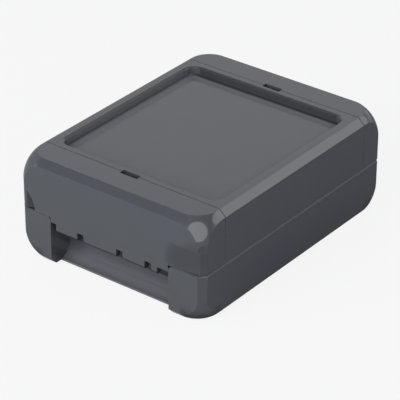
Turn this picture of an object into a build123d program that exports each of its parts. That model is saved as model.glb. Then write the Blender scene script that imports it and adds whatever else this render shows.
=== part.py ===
from build123d import *
import os
from math import hypot, sqrt

os.makedirs("parts", exist_ok=True)

# Small two-shell plastic enclosure, lying on its base. X is the width, Y the length between
# the two end flaps, Z is up, and the origin is the middle of the underside.
# Each end flap hinges near its lower edge and closes over the end of the lid.
# The rear end is the front end turned half a turn about Z.

# Closed block
overall_x = 80.0
overall_y = 104.5
overall_z = 40.0
parting_z = 19.6            # joint face between base and lid
edge_chamfer = 2.4          # flat chamfer along every outer edge
corner_r = 8.1              # outline radius of each face at the ball-cut corners
base_groove = 0.45          # V groove along the joint line: its half on the base
cover_groove = 0.35         # and its half on the lid and flaps
half_x = overall_x / 2
half_y = overall_y / 2

# Base shell
shell_wall = 3.0
floor_thick = 2.4
end_inset = 10.15           # from the flaps' front to the end walls hidden behind them
end_face_y = half_y - end_inset
cavity_corner_r = 3.5

# Seal between base and lid, with the base's tongue below it
seal_lip = 1.0              # rim left outside the seal groove
seal_groove_w = 1.3
seal_groove_depth = 2.0
seal_corner_r = 5.5
seal_side_gap = 0.05
tongue_h = 1.0
tongue_side_gap = 0.1

# Corner feet and the open bay between the front pair
foot_left_w = 13.9
foot_right_w = 14.6
foot_left_x = foot_left_w - half_x
foot_right_x = half_x - foot_right_w
foot_corner_r = 2.0
cove_r = 5.9
bay_lip_inset = 4.95
bay_lip_y = half_y - bay_lip_inset
bay_lip_thick = 0.6

# Wall fixing screws through the feet
wall_hole_inset_x = 7.25
wall_hole_inset_y = 5.45
wall_hole_x = half_x - wall_hole_inset_x
wall_hole_y = half_y - wall_hole_inset_y
wall_hole_r = 2.15
wall_head_r = 4.2
wall_head_z = 4.0

# Bosses for a circuit board
board_boss_inset_x = 11.0
board_boss_inset_y = 21.25
board_boss_x = half_x - board_boss_inset_x
board_boss_y = half_y - board_boss_inset_y
board_boss_r = 3.2
board_boss_h = 6.0
board_hole_r = 1.2
board_hole_depth = 5.0
boss_rib_w = 1.2
boss_rib_h = 3.6

# Lid
lid_top_wall = 2.2
flap_top_len = 11.9         # of the flap's visible top
seam_y = half_y - flap_top_len
ledge_drop = 3.1            # of the lid's ledge at each end, under the flap's top
ledge_z = overall_z - ledge_drop
ledge_corner_r = 1.0
panel_margin_x = 6.0
panel_margin_y = 3.05
panel_half_x = half_x - panel_margin_x
panel_half_y = seam_y - panel_margin_y
panel_corner_r = 4.5
panel_depth = 3.0
panel_rim_chamfer = 0.6

# Flaps
seam_gap = 0.1
flap_wall = 2.2
flap_side_gap = 0.5         # between the lid's ledge block and the flap's cheeks
flap_foot_gap = 0.15        # between the flap's lower edge and the feet
hold_gap = 0.1              # between the lid's ledge and the ribs that hold it down
skirt_drop = 5.2
skirt_z = parting_z - skirt_drop
skirt_edge_chamfer = 0.35
rib_w = 1.6
rib_count = 7
rib_pitch = 10.0
rib_reach = 3.0

# Screwdriver slots across the two seams
slot_half_x = 3.7
slot_half_w = 1.2
slot_depth = 3.0

# Wide thumb scoop over the right foot, deepening towards the side
scoop_w = 16.0
scoop_h = 9.1
scoop_inner_x = half_x - scoop_w
scoop_depth = 0.75          # reached at the side face
scoop_top_z = parting_z + scoop_h
scoop_corner_r = 2.5

# Round nail recess over the left foot, deepening away from the side
recess_offset = 2.7         # of its centre outside the side face
recess_drop = 0.7           # and below the joint line
recess_x = -half_x - recess_offset
recess_z = parting_z - recess_drop
recess_r = 9.7
recess_depth = 1.2          # reached at its round edge
recess_start = 0.5          # from the end of the front face

# Hinges: pins through ears of the base and knuckles of the flap
pivot_inset = 2.95
pivot_drop = 3.7
pivot_y = half_y - pivot_inset
pivot_z = parting_z - pivot_drop
left_hinge_x = -18.85
right_hinge_x = 10.55
hinge_centres = (left_hinge_x, right_hinge_x)
knuckle_len = 9.4
knuckle_r = 1.5
ear_side_gap = 0.3
ear_thick = 1.3
ear_r = 1.3
pin_r = 0.75
pin_press = 0.02            # radial fit in the ears
pin_run = 0.06              # radial running fit in the knuckles
pin_inset = 0.3
notch_w = 2.8
notch_drop = 2.1
notch_z = parting_z - notch_drop
far_notch_w = 4.8
far_notch_drop = 2.6
far_notch_x = foot_right_x - far_notch_w
far_notch_z = parting_z - far_notch_drop
foot_sweep_gap = 0.12
foot_sweep_end = 0.13       # the same at the side faces
flap_lip = 1.0              # thickness of the flap's front edge over the feet

over = 1.0                  # how far a cutter runs past what it cuts
flap_inner_y = seam_y + seam_gap
flap_edge_z = parting_z + flap_foot_gap
corner_reach = edge_chamfer + corner_r
ball_r = hypot(corner_reach, corner_r)
half_turn = Rot(0, 0, 180)


def slab(x0, x1, y0, y1, z0, z1):
    """Box between two corners."""
    box = Box(abs(x1 - x0), abs(y1 - y0), abs(z1 - z0))
    return Pos((x0 + x1) / 2, (y0 + y1) / 2, (z0 + z1) / 2) * box


def mirrored(shape):
    """The shape and its three copies across the X and Y middle planes."""
    pair = shape + mirror(shape, Plane.YZ)
    return pair + mirror(pair, Plane.XZ)


def both_ends(shape):
    """The front shape and the same shape turned half a turn to the rear."""
    return shape + half_turn * shape


def corner_waste(upper):
    """What the ball at one corner leaves over inside the corner's cube."""
    centre_z = overall_z - corner_reach if upper else corner_reach
    outer_z = overall_z + over if upper else -over
    cube = slab(half_x - corner_reach, half_x + over, half_y - corner_reach, half_y + over,
                centre_z, outer_z)
    return cube - Pos(half_x - corner_reach, half_y - corner_reach, centre_z) * Sphere(ball_r)


def chamfered_block(inset=0.0):
    """Closed block with chamfered edges, or its parallel inner form."""
    block = Box(overall_x - 2 * inset, overall_y - 2 * inset, overall_z - 2 * inset)
    block = chamfer(block.edges(), edge_chamfer - inset * (2 - sqrt(2)))
    return Pos(0, 0, overall_z / 2) * block


def rounded_block():
    """Closed block with chamfered edges and ball-cut corners."""
    return chamfered_block() - mirrored(corner_waste(True)) - mirrored(corner_waste(False))


def flap_hollow():
    """Inner form of the block, its upper front corners cut flat behind the balls."""
    block = chamfered_block(flap_wall)
    for side in (-1, 1):
        outward = Vector(side, -1, 1).normalized()
        middle = Vector(side * (half_x - corner_reach), corner_reach - half_y, overall_z - corner_reach)
        cut = Plane(origin=middle + outward * (ball_r - flap_wall), z_dir=outward)
        block = split(block, bisect_by=cut, keep=Keep.BOTTOM)
    return block


def block_above(z0):
    """Upper part of the block with half a V groove along its lower edge."""
    part = rounded_block() & slab(-half_x, half_x, -half_y, half_y, z0, overall_z)
    return chamfer(part.faces().sort_by(Axis.Z)[0].outer_wire().edges(), cover_groove)


def block_below(z0):
    """Lower part of the block with half a V groove along its upper edge."""
    part = rounded_block() & slab(-half_x, half_x, -half_y, half_y, 0, z0)
    return chamfer(part.faces().sort_by(Axis.Z)[-1].outer_wire().edges(), base_groove)


def rim_ring(offset, width, z0, z1):
    """Rounded rectangular ring that follows the rim, a given way in from the outside."""
    outer_r = seal_corner_r + seal_lip - offset
    outer = RectangleRounded(2 * (half_x - offset), 2 * (end_face_y - offset), outer_r)
    inner = RectangleRounded(2 * (half_x - offset - width), 2 * (end_face_y - offset - width),
                             outer_r - width)
    return Pos(0, 0, z0) * extrude(outer - inner, z1 - z0)


def cavity(z0, z1):
    """Rounded hollow inside the base or the lid."""
    plan = RectangleRounded(2 * (half_x - shell_wall), 2 * (end_face_y - shell_wall), cavity_corner_r)
    return Pos(0, 0, z0) * extrude(plan, z1 - z0)


def bay_waste():
    """What is cleared between the front pair of feet, down to the coved lip."""
    arc_z = bay_lip_thick + cove_r
    arc_y = end_face_y + cove_r
    lip_z = arc_z - sqrt(cove_r**2 - (arc_y - bay_lip_y) ** 2)
    outside_y = -half_y - over
    lines = Polyline((-bay_lip_y, lip_z), (-bay_lip_y, -over), (outside_y, -over),
                     (outside_y, parting_z + over), (-end_face_y, parting_z + over), (-end_face_y, arc_z))
    cove_mid = (-arc_y + cove_r * sqrt(0.5), arc_z - cove_r * sqrt(0.5))
    cove = ThreePointArc((-end_face_y, arc_z), cove_mid, (-bay_lip_y, lip_z))
    face = make_face(Plane.YZ * (lines + cove))
    return Pos(foot_left_x, 0, 0) * extrude(face, foot_right_x - foot_left_x, dir=(1, 0, 0))


def foot_rounding(foot_x, side):
    """Waste that rounds the inner upper corner of a front foot, seen from the front."""
    r = foot_corner_r
    corner = slab(foot_x - side * over, foot_x + side * r, -half_y - over, -end_face_y,
                  parting_z - r, parting_z + over)
    disc = Pos(foot_x + side * r, -half_y, parting_z - r) * Rot(90, 0, 0) * Cylinder(r, overall_y)
    return corner - disc


def along_x(radius, x0, x1):
    """Cylinder on the front hinge axis between two X values."""
    rod = Rot(0, 90, 0) * Cylinder(radius, x1 - x0)
    return Pos((x0 + x1) / 2, -pivot_y, pivot_z) * rod


def ear_span(centre, side):
    """X range of the ear on one side of a hinge, joined to the left foot where it is close."""
    near = centre + side * (knuckle_len / 2 + ear_side_gap)
    far = near + side * ear_thick
    if far < foot_left_x + ear_side_gap:
        far = foot_left_x - over
    return min(near, far), max(near, far)


def front_ears():
    """Lugs on the front end wall that carry the pins of both hinges."""
    ears = []
    for centre in hinge_centres:
        for side in (-1, 1):
            x0, x1 = ear_span(centre, side)
            arm = slab(x0, x1, -pivot_y, -end_face_y + over, pivot_z - ear_r, pivot_z + ear_r)
            ears.append(arm + along_x(ear_r, x0, x1))
    return Part() + ears


def pin_span(centre):
    """X range of one hinge pin."""
    reach = knuckle_len / 2 + ear_side_gap + ear_thick - pin_inset
    return centre - reach, centre + reach


def hinge_pin(centre):
    return along_x(pin_r, *pin_span(centre))


def board_boss():
    """Screw boss for a circuit board, braced to the nearest side wall."""
    boss = Pos(board_boss_x, board_boss_y, floor_thick + board_boss_h / 2) * \
        Cylinder(board_boss_r, board_boss_h)
    rib = slab(board_boss_x, half_x - shell_wall + over, board_boss_y - boss_rib_w / 2,
               board_boss_y + boss_rib_w / 2, floor_thick, floor_thick + boss_rib_h)
    return boss + rib


def board_hole():
    top = floor_thick + board_boss_h
    depth = board_hole_depth + over
    return Pos(board_boss_x, board_boss_y, top + over - depth / 2) * Cylinder(board_hole_r, depth)


def wall_hole():
    """Screw hole through a foot with room for the screw head above it."""
    hole = Pos(wall_hole_x, wall_hole_y, parting_z / 2) * Cylinder(wall_hole_r, parting_z + 2 * over)
    head_h = parting_z + over - wall_head_z
    return hole + Pos(wall_hole_x, wall_hole_y, wall_head_z + head_h / 2) * Cylinder(wall_head_r, head_h)


def make_base():
    body = block_below(parting_z)
    body -= cavity(floor_thick, parting_z + over)
    body -= both_ends(bay_waste())
    body -= both_ends(foot_rounding(foot_left_x, -1) + foot_rounding(foot_right_x, 1))
    body -= mirrored(wall_hole())
    body += rim_ring(seal_lip + tongue_side_gap, seal_groove_w - 2 * tongue_side_gap,
                     parting_z - over, parting_z + tongue_h)
    body += mirrored(board_boss())
    body -= mirrored(board_hole())
    body += both_ends(front_ears())
    for centre in hinge_centres:
        x0, x1 = pin_span(centre)
        body -= both_ends(along_x(pin_r + pin_press, x0, x1))
    return body


def make_seal():
    return rim_ring(seal_lip + seal_side_gap, seal_groove_w - 2 * seal_side_gap,
                    parting_z + tongue_h, parting_z + seal_groove_depth)


def panel_waste():
    """Shallow recess in the lid's top."""
    plan = RectangleRounded(2 * panel_half_x, 2 * panel_half_y, panel_corner_r)
    return Pos(0, 0, overall_z - panel_depth) * extrude(plan, panel_depth + over)


def make_lid():
    body = block_above(parting_z) & slab(-half_x, half_x, -seam_y, seam_y, parting_z, overall_z)
    body -= panel_waste()
    rim = body.faces().filter_by(Axis.Z).group_by(Axis.Z)[-1].face().inner_wires()[0]
    body = chamfer(rim.edges(), panel_rim_chamfer)
    end_half_x = half_x - flap_wall - flap_side_gap
    ends = slab(-end_half_x, end_half_x, -end_face_y, end_face_y, parting_z, ledge_z)
    ends = fillet(ends.edges().filter_by(Axis.Z), ledge_corner_r)
    body += ends - panel_waste()
    body -= cavity(parting_z - over, overall_z - panel_depth - lid_top_wall)
    body -= rim_ring(seal_lip, seal_groove_w, parting_z - over, parting_z + seal_groove_depth)
    slot = slab(-slot_half_x, slot_half_x, -seam_y - over, -seam_y + slot_half_w, overall_z - slot_depth,
                overall_z + over)
    return body - both_ends(slot)


def foot_sweep():
    """Space in the flap that the feet's upper front edges pass through as it swings."""
    reach_y = half_y - pivot_y
    reach_z = parting_z - pivot_z
    sweep_r = hypot(reach_y - base_groove, reach_z) + foot_sweep_gap
    end_r = reach_z + foot_sweep_end
    corner_x = half_x - edge_chamfer
    cone_len = edge_chamfer
    cone = Pos(corner_x + cone_len / 2, -pivot_y, pivot_z) * Rot(0, 90, 0) * \
        Cone(sweep_r, end_r, cone_len)
    right = along_x(sweep_r, foot_right_x - flap_foot_gap, corner_x) + cone
    left = along_x(sweep_r, -foot_left_x - flap_foot_gap, corner_x) + cone
    return right + mirror(left, Plane.YZ)


def foot_lips():
    """Front edge of the flap over the feet, brought down into the groove."""
    low_z = parting_z - base_groove
    high_z = flap_edge_z + 2 * cover_groove
    side_x = half_x - edge_chamfer
    y0, y1 = -half_y, -half_y + flap_lip
    right = slab(foot_right_x - flap_foot_gap, side_x, y0, y1, low_z, high_z)
    return right + slab(-side_x, foot_left_x + flap_foot_gap, y0, y1, low_z, high_z)


def scoop():
    """Cutter for the tilted scoop over the right foot."""
    slope = scoop_depth / (half_x - scoop_inner_x)
    x_in = scoop_inner_x - over / slope
    x_out = half_x + over
    y_out = -half_y - over
    y_deep = -half_y + slope * (x_out - scoop_inner_x)
    plan = make_face(Polyline((x_in, y_out), (x_out, y_deep), (x_out, y_out), close=True))
    low_z = parting_z - over
    wedge = Pos(0, 0, low_z) * extrude(plan, scoop_top_z - low_z, dir=(0, 0, 1))
    window = slab(scoop_inner_x, x_out, y_out - over, y_deep + over, low_z, scoop_top_z)
    corner = window.edges().filter_by(Axis.Y).sort_by(lambda e: e.center().X - e.center().Z)[0]
    return wedge & fillet(corner, scoop_corner_r)


def nail_recess():
    """Cutter for the round-edged recess over the left foot."""
    x_start = -half_x + edge_chamfer + recess_start
    x_edge = recess_x + recess_r
    slope = recess_depth / (x_edge - x_start)
    y_out = -half_y - over
    x_out = x_edge + over
    y_deep = -half_y + slope * (x_out - x_start)
    plan = make_face(Polyline((x_start - over / slope, y_out), (x_out, y_deep), (x_out, y_out), close=True))
    low_z = parting_z - over
    wedge = Pos(0, 0, low_z) * extrude(plan, recess_z + recess_r + over - low_z, dir=(0, 0, 1))
    return wedge & Pos(recess_x, -half_y, recess_z) * Rot(90, 0, 0) * Cylinder(recess_r, 4 * over)


def notches():
    """Openings of the skirt in front of the ears and beside the right foot."""
    low_z = skirt_z - over
    y_out = -half_y - over
    cuts = slab(far_notch_x, foot_right_x + over, y_out, -pivot_y, low_z, far_notch_z)
    for centre in hinge_centres:
        for side in (-1, 1):
            x0 = centre + side * knuckle_len / 2
            x1 = x0 + side * notch_w
            cuts += slab(x0, x1, y_out, -pivot_y + knuckle_r + over, low_z, notch_z)
    return cuts


def hold_ribs():
    """Ribs under the flap's top that hold the lid's ledge down."""
    z_under = overall_z - flap_wall
    ribs = []
    for i in range(rib_count):
        x = (i - (rib_count - 1) / 2) * rib_pitch
        ribs.append(slab(x - rib_w / 2, x + rib_w / 2, -flap_inner_y - rib_reach, -flap_inner_y,
                         ledge_z + hold_gap, z_under + over / 2))
    return Part() + ribs


def make_front_flap():
    shell = block_above(flap_edge_z) & slab(-half_x, half_x, -half_y, -flap_inner_y, flap_edge_z, overall_z)
    shell -= flap_hollow()
    shell += foot_lips()
    shell -= scoop()
    shell -= nail_recess()
    shell -= foot_sweep()
    skirt = slab(foot_left_x + flap_foot_gap, foot_right_x - flap_foot_gap, -half_y, -half_y + flap_wall,
                 skirt_z, flap_edge_z + over)
    low_edges = skirt.edges().filter_by(Axis.X).group_by(Axis.Z)[0]
    shell += chamfer(low_edges, skirt_edge_chamfer)
    for centre in hinge_centres:
        x0, x1 = centre - knuckle_len / 2, centre + knuckle_len / 2
        shell += slab(x0, x1, -half_y + flap_wall / 2, -pivot_y, pivot_z, pivot_z + knuckle_r)
        shell += along_x(knuckle_r, x0, x1)
    shell -= notches()
    shell += hold_ribs()
    for centre in hinge_centres:
        shell -= along_x(pin_r + pin_run, *pin_span(centre))
    slot = slab(-slot_half_x, slot_half_x, -flap_inner_y - slot_half_w, -flap_inner_y + over,
                overall_z - slot_depth, overall_z + over)
    return shell - slot


front_flap = make_front_flap()
pieces = {
    "base": make_base(),
    "lid": make_lid(),
    "lid_seal": make_seal(),
    "front_flap": front_flap,
    "rear_flap": half_turn * front_flap,
}
for side_name, centre in zip(("left", "right"), hinge_centres):
    pin = hinge_pin(centre)
    pieces[f"front_{side_name}_hinge_pin"] = pin
    pieces[f"rear_{side_name}_hinge_pin"] = half_turn * pin

for node, shape in pieces.items():
    export_step(shape, f"parts/{node}.step")
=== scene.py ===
import math
import bmesh
import bpy
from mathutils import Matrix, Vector


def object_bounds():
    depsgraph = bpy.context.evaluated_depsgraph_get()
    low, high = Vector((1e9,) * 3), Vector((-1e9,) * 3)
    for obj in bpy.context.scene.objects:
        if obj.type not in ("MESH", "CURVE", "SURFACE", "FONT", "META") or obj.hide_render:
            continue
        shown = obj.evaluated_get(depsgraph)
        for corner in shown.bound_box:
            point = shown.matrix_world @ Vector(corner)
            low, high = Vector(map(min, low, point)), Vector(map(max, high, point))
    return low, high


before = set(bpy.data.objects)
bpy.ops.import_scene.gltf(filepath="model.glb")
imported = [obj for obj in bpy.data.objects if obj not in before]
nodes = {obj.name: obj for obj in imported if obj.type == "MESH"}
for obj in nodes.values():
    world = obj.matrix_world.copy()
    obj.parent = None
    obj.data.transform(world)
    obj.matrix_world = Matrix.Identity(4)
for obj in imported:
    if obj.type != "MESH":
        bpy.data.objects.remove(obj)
cadLow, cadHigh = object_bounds()
print("frame loaded:", sorted(nodes))

# lengths are in metres unless a note says mm, with the enclosure's underside on the floor at z = 0
mm = 0.001
centre = (cadLow + cadHigh) / 2


def addToScene(obj):
    bpy.context.scene.collection.objects.link(obj)


def inRadians(angles):
    return [math.radians(angle) for angle in angles]


# fitted to the photo's straight edges and silhouette
camera = {
    "place": (423.9 * mm, -552.5 * mm, 413.3 * mm),
    "turn": (60.027, -0.112, 37.668),  # degrees
    "lens": 204.42,  # mm, as the sensor
    "sensor": 36.0,
    "farthest": 20.0,
}


def addCamera(look):
    data = bpy.data.cameras.new("camera")
    data.lens = look["lens"]
    data.sensor_width = look["sensor"]
    data.clip_end = look["farthest"]
    obj = bpy.data.objects.new("camera", data)
    obj.location = look["place"]
    obj.rotation_euler = inRadians(look["turn"])
    addToScene(obj)
    bpy.context.scene.camera = obj


# azimuth 0 is in front of the enclosure and 90 at its right side, both in degrees
# fills light the object and aren't mirrored in it, and cards are only mirrored
softboxes = {
    "cameraCard": {"azimuth": 37.6, "elevation": 26, "size": (1.3, 1.3), "round": True, "radiance": 2.65},
    "rearCard": {"azimuth": 126, "elevation": 32, "size": (0.9, 0.7), "round": False, "radiance": 1.8},
    "frontFill": {"azimuth": -12, "elevation": 14, "size": (1.3, 0.6), "round": False, "radiance": 3.7},
    "highFill": {"azimuth": -12, "elevation": 38, "size": (1.3, 0.6), "round": False, "radiance": 2.85},
    "sideFill": {"azimuth": 60, "elevation": 20, "size": (0.8, 0.7), "round": False, "radiance": 1.5},
}
softboxDistance = 1.2  # from the middle of the enclosure


def addSoftbox(name, look):
    data = bpy.data.lights.new(name, "AREA")
    width, height = look["size"]
    data.shape = "ELLIPSE" if look["round"] else "RECTANGLE"
    data.size = width
    data.size_y = height
    area = width * height * (math.pi / 4 if look["round"] else 1)
    data.energy = look["radiance"] * math.pi * area  # watts of an even panel
    around, up = inRadians((look["azimuth"], look["elevation"]))
    away = Vector((math.sin(around) * math.cos(up), -math.cos(around) * math.cos(up), math.sin(up)))
    obj = bpy.data.objects.new(name, data)
    obj.location = centre + away * softboxDistance
    obj.rotation_euler = away.to_track_quat("Z", "Y").to_euler()
    obj.visible_camera = False
    obj.visible_glossy = name.endswith("Card")
    obj.visible_diffuse = name.endswith("Fill")
    addToScene(obj)


def squareMesh(name, half):
    mesh = bpy.data.meshes.new(name)
    shape = bmesh.new()
    bmesh.ops.create_grid(shape, x_segments=1, y_segments=1, size=half)
    shape.to_mesh(mesh)
    shape.free()
    return mesh


# dark panels that only mirrored rays meet: high at the front left, at the left, low at the front left,
# on the floor before the right foot, and above and behind the camera
flags = {
    "highFlag": {"place": (-0.63, -0.64, 0.84), "turn": (46, 0, -45), "size": (1.1, 0.8), "level": 0.07},
    "leftFlag": {"place": (-1.3, 0.4, 0.33), "turn": (90, 0, -73), "size": (1.6, 0.64), "level": 0.45},
    "lowFlag": {"place": (-0.66, -0.98, 0.2), "turn": (80, 0, -34), "size": (0.9, 0.46), "level": 0.6},
    "floorFlag": {"place": (0.0485, -0.0862, 0.0003), "turn": (0, 0, 0), "size": (0.093, 0.0145),
                  "level": 0.0},
    "cameraFlag": {"place": (0.604, -0.784, 1.01), "turn": (45, 0, 37.6), "size": (2.6, 2.6),
                   "level": 0.33},
}


def addFlag(name, look):
    mesh = squareMesh(name, 0.5)  # one metre wide, and scaled to its size
    obj = bpy.data.objects.new(name, mesh)
    obj.location = look["place"]
    obj.rotation_euler = inRadians(look["turn"])
    obj.scale = (*look["size"], 1)
    mat = bpy.data.materials.new(name)
    mat.use_nodes = True
    shader = mat.node_tree.nodes["Principled BSDF"]
    shader.inputs["Base Color"].default_value = (0, 0, 0, 1)
    shader.inputs["Specular IOR Level"].default_value = 0.0
    shader.inputs["Emission Color"].default_value = (1, 1, 1, 1)
    shader.inputs["Emission Strength"].default_value = look["level"]
    mesh.materials.append(mat)
    obj.visible_camera = False
    obj.visible_diffuse = False
    obj.visible_shadow = False
    addToScene(obj)


def mathNode(tree, operation, first, second=None):
    node = tree.nodes.new("ShaderNodeMath")
    node.operation = operation
    for socket, value in zip(node.inputs, (first, second)):
        if isinstance(value, (int, float)):
            socket.default_value = value
        elif value is not None:
            tree.links.new(value, socket)
    return node.outputs[0]


# 1 for a ray of any of these kinds, and 0 for the others
def seenRay(tree, *kinds):
    ray = tree.nodes.new("ShaderNodeLightPath")
    total = ray.outputs[kinds[0]]
    for kind in kinds[1:]:
        total = mathNode(tree, "MAXIMUM", total, ray.outputs[kind])
    return total


def mixShaders(tree, share, first, second, target):
    mix = tree.nodes.new("ShaderNodeMixShader")
    for socket, source in zip(mix.inputs, (share, first, second)):
        tree.links.new(source, socket)
    tree.links.new(mix.outputs[0], target)


# the room's light changes evenly from its level at the front to that at the rear,
# while the camera and mirrors see it plain
room = {"front": 0.0, "rear": 0.5, "tint": (0.94, 0.98, 1.1), "seen": 1.0}


def paintRoom(look):
    world = bpy.data.worlds.new("room")
    bpy.context.scene.world = world
    world.use_nodes = True
    tree = world.node_tree
    tree.nodes.clear()
    direction = tree.nodes.new("ShaderNodeTexCoord").outputs["Generated"]
    slope = tree.nodes.new("ShaderNodeVectorMath")
    slope.operation = "DOT_PRODUCT"
    slope.inputs[1].default_value = (0, (look["rear"] - look["front"]) / 2, 0)
    tree.links.new(direction, slope.inputs[0])
    level = mathNode(tree, "ADD", slope.outputs["Value"], (look["rear"] + look["front"]) / 2)
    lit = tree.nodes.new("ShaderNodeBackground")
    lit.inputs["Color"].default_value = (*look["tint"], 1)
    tree.links.new(level, lit.inputs["Strength"])
    seen = tree.nodes.new("ShaderNodeBackground")
    seen.inputs["Color"].default_value = (1, 1, 1, 1)
    seen.inputs["Strength"].default_value = look["seen"]
    out = tree.nodes.new("ShaderNodeOutputWorld")
    share = seenRay(tree, "Is Camera Ray", "Is Glossy Ray", "Is Transmission Ray")
    mixShaders(tree, share, lit.outputs[0], seen.outputs[0], out.inputs["Surface"])


def newMaterial(name, look):
    mat = bpy.data.materials.new(name)
    mat.use_nodes = True
    shader = mat.node_tree.nodes["Principled BSDF"]
    shader.inputs["Base Color"].default_value = (*look["color"], 1)
    shader.inputs["Roughness"].default_value = look["roughness"]
    return mat, mat.node_tree, shader


# pale paper that the camera sees nearly white, with a faint shadow left on it
floorLook = {"half": 1.5, "color": (0.6, 0.6, 0.6), "roughness": 0.9, "glow": 1.0, "whiten": 0.88}


def addFloor(look):
    mesh = squareMesh("floor", look["half"])
    obj = bpy.data.objects.new("floor", mesh)
    addToScene(obj)
    mat, tree, shader = newMaterial("palePaper", look)
    shader.inputs["Specular IOR Level"].default_value = 0.0
    glow = tree.nodes.new("ShaderNodeEmission")
    glow.inputs["Strength"].default_value = look["glow"]
    share = mathNode(tree, "MULTIPLY", seenRay(tree, "Is Camera Ray", "Is Transmission Ray"), look["whiten"])
    surface = tree.nodes["Material Output"].inputs["Surface"]
    mixShaders(tree, share, shader.outputs[0], glow.outputs[0], surface)
    mesh.materials.append(mat)


def noise(tree, size, detail, stretch=(1, 1, 1)):
    place = tree.nodes.new("ShaderNodeTexCoord")
    scale = tree.nodes.new("ShaderNodeMapping")
    scale.inputs["Scale"].default_value = [1 / (size * s) for s in stretch]
    tree.links.new(place.outputs["Object"], scale.inputs["Vector"])
    cloud = tree.nodes.new("ShaderNodeTexNoise")
    cloud.inputs["Scale"].default_value = 1
    cloud.inputs["Detail"].default_value = detail
    tree.links.new(scale.outputs["Vector"], cloud.inputs["Vector"])
    return cloud.outputs["Fac"]


# share 0 gives the first and 1 the second, which are values or sockets
def mixed(tree, kind, share, first, second):
    mix = tree.nodes.new("ShaderNodeMix")
    mix.data_type = kind
    tree.links.new(share, mix.inputs["Factor"])
    for key, value in (("A", first), ("B", second)):
        if isinstance(value, bpy.types.NodeSocket):
            tree.links.new(value, mix.inputs[key])
        else:
            mix.inputs[key].default_value = value
    return mix.outputs["Result"]


def mottled(tree, value, color, uneven):
    dark, light = ((*(c * level for c in color), 1) for level in (1 - uneven, 1 + uneven))
    return mixed(tree, "RGBA", value, dark, light)


def spread(tree, value, middle, reach):
    scale = tree.nodes.new("ShaderNodeMapRange")
    scale.inputs["To Min"].default_value = middle - reach
    scale.inputs["To Max"].default_value = middle + reach
    tree.links.new(value, scale.inputs["Value"])
    return scale.outputs["Result"]


edgeSamples = 6  # rays that find the softened edges


def roughen(tree, shader, height, depth, edge):
    bump = tree.nodes.new("ShaderNodeBump")
    bump.inputs["Distance"].default_value = depth
    tree.links.new(height, bump.inputs["Height"])
    soft = tree.nodes.new("ShaderNodeBevel")
    soft.samples = edgeSamples
    soft.inputs["Radius"].default_value = edge
    tree.links.new(soft.outputs["Normal"], bump.inputs["Normal"])
    tree.links.new(bump.outputs["Normal"], shader.inputs["Normal"])


# how strongly something shows: 1 within near of the middle, falling to 0 at far
def band(tree, value, middle, near, far):
    away = mathNode(tree, "ABSOLUTE", mathNode(tree, "SUBTRACT", value, middle))
    fall = tree.nodes.new("ShaderNodeMapRange")
    fall.interpolation_type = "SMOOTHSTEP"
    fall.inputs["From Min"].default_value = near
    fall.inputs["From Max"].default_value = far
    fall.inputs["To Min"].default_value = 1
    fall.inputs["To Max"].default_value = 0
    tree.links.new(away, fall.inputs["Value"])
    return fall.outputs["Result"]


# moulded shells: a smooth dark grey plastic with a faint grain and a slightly uneven gloss
graphite = {
    "color": (0.072, 0.077, 0.088), "roughness": 0.1, "glossReach": 0.02, "ior": 1.5,
    "patch": 9 * mm, "patchDetail": 4, "uneven": 0.03,
    "grain": 0.35 * mm, "grainDetail": 2, "grainDepth": 0.002 * mm, "edge": 0.18 * mm,
}

# bands across an axis, in mm: the middle, how far a mark is whole from there, and where it ends
panelFloor = (37, 0.2, 0.4)
panelLength = (0, 37.2, 37.3)
panelWidth = (0, 33.9, 34)

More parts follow.
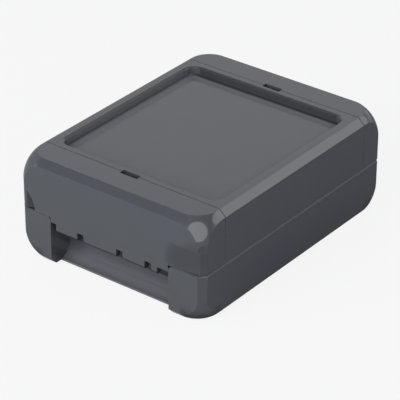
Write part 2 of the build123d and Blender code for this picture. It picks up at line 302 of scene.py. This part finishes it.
# where the shells are dull, where painted light makes them paler, and where painted shade makes them darker
# X and Y hold for both sides and both ends, but for the axis in oneSide
# corner keeps a mark to the front left and rear right with 1, and to the other two with -1
dullnessAndPaintedLight = {
    "dullness": 0.6,
    # the paler colour that painted light gives
    "paintedLightColor": (0.243, 0.251, 0.266),
    # the darker colour that painted shade gives
    "paintedShadeColor": (0.016, 0.017, 0.019),
    "dull": {
        "sideJoint": {"amount": 1.0, "X": (40, 1, 1.6), "Z": (19.6, 0.4, 0.6)},
        "panelLeft": {"amount": 0.6, "oneSide": "X", "X": (-34, 3, 5.5), "Y": panelLength, "Z": panelFloor},
        "panelRear": {"amount": 0.6, "oneSide": "Y", "X": panelWidth, "Y": (37.3, 3.5, 6), "Z": panelFloor},
    },
    # painted light: a paler colour lifting the shaded bottom of the cove under the flap, the left wall of
    # the top panel's recess, and the panel floor along its left and rear walls
    "paintedLight": {
        "cove": {"amount": 0.32, "X": (0, 25.9, 26.05), "Y": (45, 3.1, 3.2), "Z": (0.6, 0.7, 3.4)},
        "leftWall": {"amount": 0.4, "oneSide": "X", "X": (-34, 0.1, 0.3), "Y": (0, 37.8, 38),
                     "Z": (38.3, 1.1, 1.2)},
        "panelLeft": {"amount": 0.5, "oneSide": "X", "X": (-34, 1.7, 4.7), "Y": panelLength,
                      "Z": panelFloor},
        "panelRear": {"amount": 0.52, "oneSide": "Y", "X": panelWidth, "Y": (37.3, 2.2, 5.4),
                      "Z": panelFloor},
    },
    # painted shade: darkening in the seam on the top, along the skirt's lower edge, under the flap over the
    # hinge ears, in the scoop and the nail recess at the flaps' lower corners, at the bottom corners of the
    # feet, along the top panel's walls and at their feet, over the left rim's highlight and on the rear wall
    "paintedShade": {
        "topSeam": {"amount": 0.75, "Y": (40.3, 0.12, 0.3), "Z": (40, 1.2, 3)},
        "skirtEdge": {"amount": 1.0, "X": (0, 25, 25.2), "Y": (51.6, 1.4, 1.6), "Z": (14.6, 0.4, 0.6)},
        "underFlap": {"amount": 0.95, "X": (0, 25, 25.3), "Y": (46, 5.2, 5.4), "Z": (13.4, 6.2, 6.8)},
        "scoop": {"amount": 0.27, "corner": -1, "X": (32, 8.3, 8.5), "Y": (50.9, 1.1, 1.32),
                  "Z": (24, 3.7, 4.7)},
        "nailRecess": {"amount": 0.85, "corner": 1, "X": (35.5, 2.7, 2.9), "Y": (51.1, 0.9, 1.1),
                       "Z": (24, 4.5, 4.7)},
        "footCorner": {"amount": 0.9, "X": (40, 8, 11), "Y": (52, 8, 11), "Z": (0, 2, 6.5)},
        "panelRight": {"amount": 0.5, "oneSide": "X", "X": (34.4, 0, 6), "Y": (0, 37.4, 37.6),
                       "Z": panelFloor},
        "panelFront": {"amount": 0.5, "oneSide": "Y", "X": (0, 34.1, 34.3), "Y": (-37.7, 0, 6),
                       "Z": panelFloor},
        "leftFoot": {"amount": 0.6, "oneSide": "X", "X": (-34, 0.5, 1), "Y": panelLength, "Z": panelFloor},
        "rearFoot": {"amount": 0.85, "oneSide": "Y", "X": panelWidth, "Y": (37.3, 1.4, 2), "Z": panelFloor},
        "leftRim": {"amount": 0.8, "oneSide": "X", "X": (-34.35, 0.3, 0.4), "Y": (0, 38, 38.3),
                    "Z": (39.7, 0.28, 0.32)},
        "rearWall": {"amount": 0.56, "oneSide": "Y", "X": (0, 34.6, 34.7), "Y": (37.6, 0.35, 0.4),
                     "Z": (38.55, 1.3, 1.42)},
    },
}


# how strongly one mark shows: the product of its bands, kept to its corners
def marked(tree, axes, look):
    mask = look["amount"]
    if "corner" in look:
        across = mathNode(tree, "MULTIPLY", axes["X"], axes["Y"])
        there = mathNode(tree, "GREATER_THAN", mathNode(tree, "MULTIPLY", across, look["corner"]), 0)
        mask = mathNode(tree, "MULTIPLY", mask, there)
    for axis, value in axes.items():
        if axis in look:
            if axis != "Z" and axis != look.get("oneSide"):
                value = mathNode(tree, "ABSOLUTE", value)
            middle, near, far = (length * mm for length in look[axis])
            mask = mathNode(tree, "MULTIPLY", mask, band(tree, value, middle, near, far))
    return mask


# the strongest of several marks at each place
def strongestMark(tree, axes, marks):
    total = 0
    for look in marks.values():
        total = mathNode(tree, "MAXIMUM", total, marked(tree, axes, look))
    return total


def graphitePlastic(look, marks):
    mat, tree, shader = newMaterial("graphitePlastic", look)
    shader.inputs["IOR"].default_value = look["ior"]
    split = tree.nodes.new("ShaderNodeSeparateXYZ")
    tree.links.new(tree.nodes.new("ShaderNodeTexCoord").outputs["Object"], split.inputs[0])
    axes = {axis: split.outputs[axis] for axis in "XYZ"}
    # the mask of painted light, which makes the colour paler
    paintedLight = strongestMark(tree, axes, marks["paintedLight"])
    # the mask of painted shade, which darkens the colour and dulls the gloss
    paintedShade = strongestMark(tree, axes, marks["paintedShade"])
    dull = mathNode(tree, "MAXIMUM", paintedShade, strongestMark(tree, axes, marks["dull"]))
    cloud = noise(tree, look["patch"], look["patchDetail"])
    clean = mottled(tree, cloud, look["color"], look["uneven"])
    withPaintedLight = mixed(tree, "RGBA", paintedLight, clean, (*marks["paintedLightColor"], 1))
    withPaintedShade = mixed(tree, "RGBA", paintedShade, withPaintedLight, (*marks["paintedShadeColor"], 1))
    tree.links.new(withPaintedShade, shader.inputs["Base Color"])
    gloss = spread(tree, cloud, look["roughness"], look["glossReach"])
    tree.links.new(mixed(tree, "FLOAT", dull, gloss, marks["dullness"]), shader.inputs["Roughness"])
    grain = noise(tree, look["grain"], look["grainDetail"])
    roughen(tree, shader, grain, look["grainDepth"], look["edge"])
    return mat


# the cord in the lid's groove: dull black rubber
rubber = {
    "color": (0.012, 0.012, 0.013), "roughness": 0.62, "glossReach": 0.08,
    "patch": 3 * mm, "patchDetail": 3, "uneven": 0.15,
    "grain": 0.15 * mm, "grainDetail": 2, "grainDepth": 0.004 * mm, "edge": 0.1 * mm,
}


def sealRubber(look):
    mat, tree, shader = newMaterial("sealRubber", look)
    cloud = noise(tree, look["patch"], look["patchDetail"])
    tree.links.new(mottled(tree, cloud, look["color"], look["uneven"]), shader.inputs["Base Color"])
    tree.links.new(spread(tree, cloud, look["roughness"], look["glossReach"]), shader.inputs["Roughness"])
    grain = noise(tree, look["grain"], look["grainDetail"])
    roughen(tree, shader, grain, look["grainDepth"], look["edge"])
    return mat


# hinge pins: drawn steel wire, its scratches running along the pin
steel = {
    "color": (0.56, 0.56, 0.55), "roughness": 0.3, "glossReach": 0.1, "metallic": 1.0, "uneven": 0.06,
    "scratch": 0.05 * mm, "scratchDetail": 3, "stretch": (40, 1, 1), "scratchDepth": 0.002 * mm,
    "edge": 0.1 * mm,
}


def pinSteel(look):
    mat, tree, shader = newMaterial("pinSteel", look)
    shader.inputs["Metallic"].default_value = look["metallic"]
    lines = noise(tree, look["scratch"], look["scratchDetail"], look["stretch"])
    tree.links.new(mottled(tree, lines, look["color"], look["uneven"]), shader.inputs["Base Color"])
    tree.links.new(spread(tree, lines, look["roughness"], look["glossReach"]), shader.inputs["Roughness"])
    roughen(tree, shader, lines, look["scratchDepth"], look["edge"])
    return mat


def dress(node, mat):
    mesh = nodes[node].data
    mesh.materials.clear()
    mesh.materials.append(mat)


addCamera(camera)
for name, look in softboxes.items():
    addSoftbox(name, look)
for name, look in flags.items():
    addFlag(name, look)
paintRoom(room)
addFloor(floorLook)
print("studio set")

plastic = graphitePlastic(graphite, dullnessAndPaintedLight)
black = sealRubber(rubber)
wire = pinSteel(steel)
for node in nodes:
    if node.endswith("pin"):
        dress(node, wire)
    elif node == "lid_seal":
        dress(node, black)
    else:
        dress(node, plastic)
print("materials set")

bpy.context.scene.view_settings.view_transform = "Standard"
